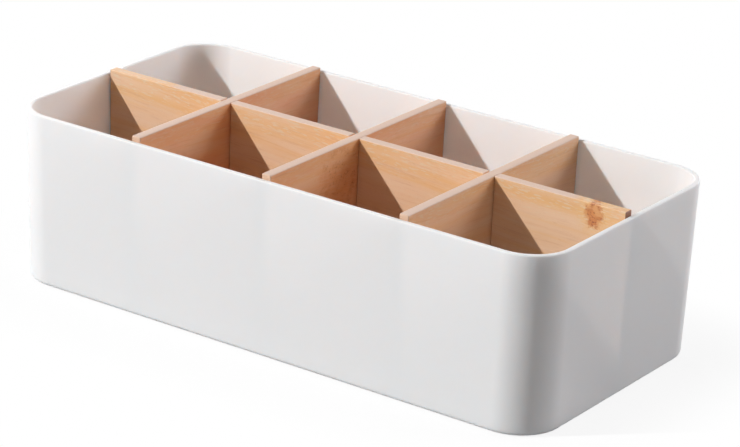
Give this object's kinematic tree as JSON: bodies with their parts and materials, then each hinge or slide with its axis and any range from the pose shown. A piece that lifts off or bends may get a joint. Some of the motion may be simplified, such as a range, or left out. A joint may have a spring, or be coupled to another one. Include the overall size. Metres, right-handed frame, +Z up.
{
  "type": "storage organizer",
  "caption": "Rectangular open storage tub with leaning walls and rounded corners, split into equal compartments by lift-out cross-lapped wooden boards.",
  "frame": {"origin": "middle of the underside, on the surface that the tub stands on", "axes": "+Z up; X along the length; -Y is the front long wall; the cross boards lie along Y"},
  "size_m": [0.305, 0.15, 0.0892],
  "materials": {
    "white_plastic": "satin moulded, fine even texture",
    "long_board_wood": "sanded bare wood, fine grain along the board",
    "cross_board_wood": "sanded bare wood, fine grain along the board"
  },
  "bodies": {
    "tub": {"tub": "white_plastic"},
    "long_divider": {"long_divider": "long_board_wood"},
    "cross_divider_left": {"cross_divider_left": "cross_board_wood"},
    "cross_divider_middle": {"cross_divider_middle": "cross_board_wood"},
    "cross_divider_right": {"cross_divider_right": "cross_board_wood"}
  },
  "joints": [
    {"name": "long_divider_lift", "type": "slide", "parent": "tub", "child": "long_divider", "axis": [0, 0, 1], "range_m": [0, 0.095]},
    {"name": "cross_divider_left_lift", "type": "slide", "parent": "long_divider", "child": "cross_divider_left", "axis": [0, 0, 1], "range_m": [0, 0.095]},
    {"name": "cross_divider_middle_lift", "type": "slide", "parent": "long_divider", "child": "cross_divider_middle", "axis": [0, 0, 1], "range_m": [0, 0.095]},
    {"name": "cross_divider_right_lift", "type": "slide", "parent": "long_divider", "child": "cross_divider_right", "axis": [0, 0, 1], "range_m": [0, 0.095]}
  ]
}
